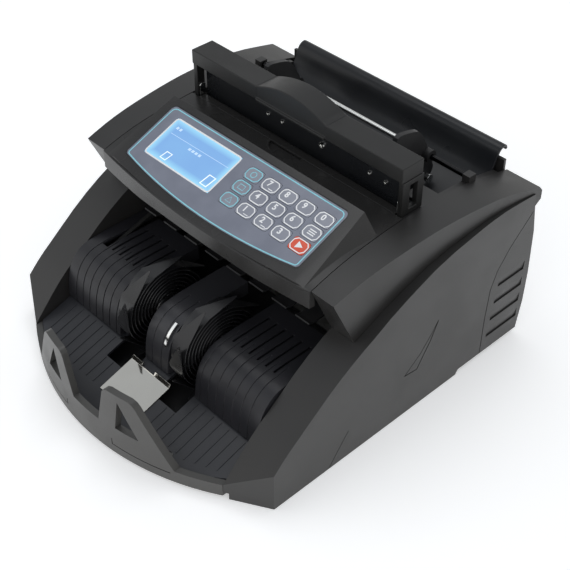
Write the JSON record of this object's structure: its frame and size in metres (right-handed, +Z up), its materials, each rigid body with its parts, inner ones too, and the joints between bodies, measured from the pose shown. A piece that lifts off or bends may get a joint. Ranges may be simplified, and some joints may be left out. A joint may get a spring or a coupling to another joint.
{
  "type": "banknote counting machine",
  "caption": "Desktop note counter: rear hopper with sliding guides, sloping keypad and display, carrying bar, finned impellers over an open front stacker.",
  "frame": {"origin": "on the table under the middle of the machine's overall width and depth", "axes": "+X to the right of someone facing the front, +Y to the back, +Z up"},
  "size_m": [0.281, 0.3156, 0.198],
  "materials": {
    "satin_black": "fine satin texture",
    "gloss_black": "smooth semi-gloss",
    "membrane_grey": "printed membrane",
    "key_grey": "printed membrane",
    "key_red": "printed membrane",
    "lcd_blue": "backlit display window",
    "polished_steel": "mirror polish",
    "plated_steel": "plated",
    "rubber_black": "matt moulded",
    "rubber_grey": "matt ground rubber",
    "motor_grey": "plated can",
    "core_brown": "varnished laminations"
  },
  "bodies": {
    "machine": {"base_pan": "satin_black", "side_shell_right": "satin_black", "side_shell_left": "satin_black", "hood_side_right": "satin_black", "hood_side_left": "satin_black", "front_rim": "satin_black", "stacker_floor": "satin_black", "handle_bar": "satin_black", "handle_post_right": "satin_black", "handle_post_left": "satin_black", "hopper_front_plate": "satin_black", "rear_tray": "satin_black", "rear_panel": "satin_black", "exit_guide": "satin_black", "foot_front_right": "rubber_black", "foot_front_left": "rubber_black", "foot_rear_right": "rubber_black", "foot_rear_left": "rubber_black", "mains_inlet": "rubber_black", "display_socket": "rubber_black", "motor_belt": "rubber_black", "impeller_belt": "rubber_black", "wear_plate": "polished_steel", "guide_rod": "polished_steel", "guide_cover_right": "gloss_black", "guide_cover_left": "gloss_black", "impeller_shroud": "gloss_black", "panel_housing": "gloss_black", "keypad_membrane": "membrane_grey", "lcd_window": "lcd_blue", "chassis": "plated_steel", "main_motor": "motor_grey", "transformer": "core_brown"},
    "key_function_a": {"key_function_a": "key_grey"},
    "key_7": {"key_7": "key_grey"},
    "key_8": {"key_8": "key_grey"},
    "key_9": {"key_9": "key_grey"},
    "key_0": {"key_0": "key_grey"},
    "key_function_b": {"key_function_b": "key_grey"},
    "key_4": {"key_4": "key_grey"},
    "key_5": {"key_5": "key_grey"},
    "key_6": {"key_6": "key_grey"},
    "key_batch": {"key_batch": "key_grey"},
    "key_function_c": {"key_function_c": "key_grey"},
    "key_1": {"key_1": "key_grey"},
    "key_2": {"key_2": "key_grey"},
    "key_3": {"key_3": "key_grey"},
    "key_start": {"key_start": "key_red"},
    "flap": {"clean_out_flap": "satin_black"},
    "guide_right": {"hopper_guide_right": "satin_black", "guide_knob_right": "polished_steel"},
    "guide_left": {"hopper_guide_left": "satin_black", "guide_knob_left": "polished_steel"},
    "impellers": {"impeller_shaft": "plated_steel", "impeller_right": "gloss_black", "impeller_left": "gloss_black"},
    "feed_rotor": {"feed_shaft": "plated_steel", "feed_roller": "rubber_grey"},
    "motor_rotor": {"motor_pulley": "plated_steel"},
    "rocker": {"power_rocker": "gloss_black"}
  },
  "joints": [
    {"name": "key_function_a_press", "type": "slide", "parent": "machine", "child": "key_function_a", "axis": [0, 0.3697, -0.9291], "range_m": [0, 0.0005], "stiffness_N_per_m": 2000},
    {"name": "key_7_press", "type": "slide", "parent": "machine", "child": "key_7", "axis": [0, 0.3697, -0.9291], "range_m": [0, 0.0005], "stiffness_N_per_m": 2000},
    {"name": "key_8_press", "type": "slide", "parent": "machine", "child": "key_8", "axis": [0, 0.3697, -0.9291], "range_m": [0, 0.0005], "stiffness_N_per_m": 2000},
    {"name": "key_9_press", "type": "slide", "parent": "machine", "child": "key_9", "axis": [0, 0.3697, -0.9291], "range_m": [0, 0.0005], "stiffness_N_per_m": 2000},
    {"name": "key_0_press", "type": "slide", "parent": "machine", "child": "key_0", "axis": [0, 0.3697, -0.9291], "range_m": [0, 0.0005], "stiffness_N_per_m": 2000},
    {"name": "key_function_b_press", "type": "slide", "parent": "machine", "child": "key_function_b", "axis": [0, 0.3697, -0.9291], "range_m": [0, 0.0005], "stiffness_N_per_m": 2000},
    {"name": "key_4_press", "type": "slide", "parent": "machine", "child": "key_4", "axis": [0, 0.3697, -0.9291], "range_m": [0, 0.0005], "stiffness_N_per_m": 2000},
    {"name": "key_5_press", "type": "slide", "parent": "machine", "child": "key_5", "axis": [0, 0.3697, -0.9291], "range_m": [0, 0.0005], "stiffness_N_per_m": 2000},
    {"name": "key_6_press", "type": "slide", "parent": "machine", "child": "key_6", "axis": [0, 0.3697, -0.9291], "range_m": [0, 0.0005], "stiffness_N_per_m": 2000},
    {"name": "key_batch_press", "type": "slide", "parent": "machine", "child": "key_batch", "axis": [0, 0.3697, -0.9291], "range_m": [0, 0.0005], "stiffness_N_per_m": 2000},
    {"name": "key_function_c_press", "type": "slide", "parent": "machine", "child": "key_function_c", "axis": [0, 0.3697, -0.9291], "range_m": [0, 0.0005], "stiffness_N_per_m": 2000},
    {"name": "key_1_press", "type": "slide", "parent": "machine", "child": "key_1", "axis": [0, 0.3697, -0.9291], "range_m": [0, 0.0005], "stiffness_N_per_m": 2000},
    {"name": "key_2_press", "type": "slide", "parent": "machine", "child": "key_2", "axis": [0, 0.3697, -0.9291], "range_m": [0, 0.0005], "stiffness_N_per_m": 2000},
    {"name": "key_3_press", "type": "slide", "parent": "machine", "child": "key_3", "axis": [0, 0.3697, -0.9291], "range_m": [0, 0.0005], "stiffness_N_per_m": 2000},
    {"name": "key_start_press", "type": "slide", "parent": "machine", "child": "key_start", "axis": [0, 0.3697, -0.9291], "range_m": [0, 0.0005], "stiffness_N_per_m": 2000},
    {"name": "flap_hinge", "type": "hinge", "parent": "machine", "child": "flap", "pos_m": [0, 0.046, 0.1501], "axis": [-1, 0, 0], "range_deg": [0, 85]},
    {"name": "guide_slide_right", "type": "slide", "parent": "machine", "child": "guide_right", "axis": [1, 0, 0], "range_m": [-0.012, 0.02]},
    {"name": "guide_slide_left", "type": "slide", "parent": "machine", "child": "guide_left", "axis": [-1, 0, 0], "range_m": [-0.012, 0.02]},
    {"name": "motor_spin", "type": "hinge", "parent": "machine", "child": "motor_rotor", "pos_m": [0, 0.1092, 0.042], "axis": [1, 0, 0], "continuous": true},
    {"name": "feed_spin", "type": "hinge", "parent": "machine", "child": "feed_rotor", "pos_m": [0, 0.0812, 0.0975], "axis": [1, 0, 0], "continuous": true},
    {"name": "impeller_spin", "type": "hinge", "parent": "machine", "child": "impellers", "pos_m": [0, -0.0648, 0.05], "axis": [1, 0, 0], "continuous": true},
    {"name": "rocker_tip", "type": "hinge", "parent": "machine", "child": "rocker", "pos_m": [0, 0.1456, 0.0265], "axis": [1, 0, 0], "range_deg": [0, 14]}
  ],
  "couplings": [
    {"joint": "feed_spin", "follows": "motor_spin", "ratio": 0.6639},
    {"joint": "impeller_spin", "follows": "motor_spin", "ratio": 0.4627}
  ]
}
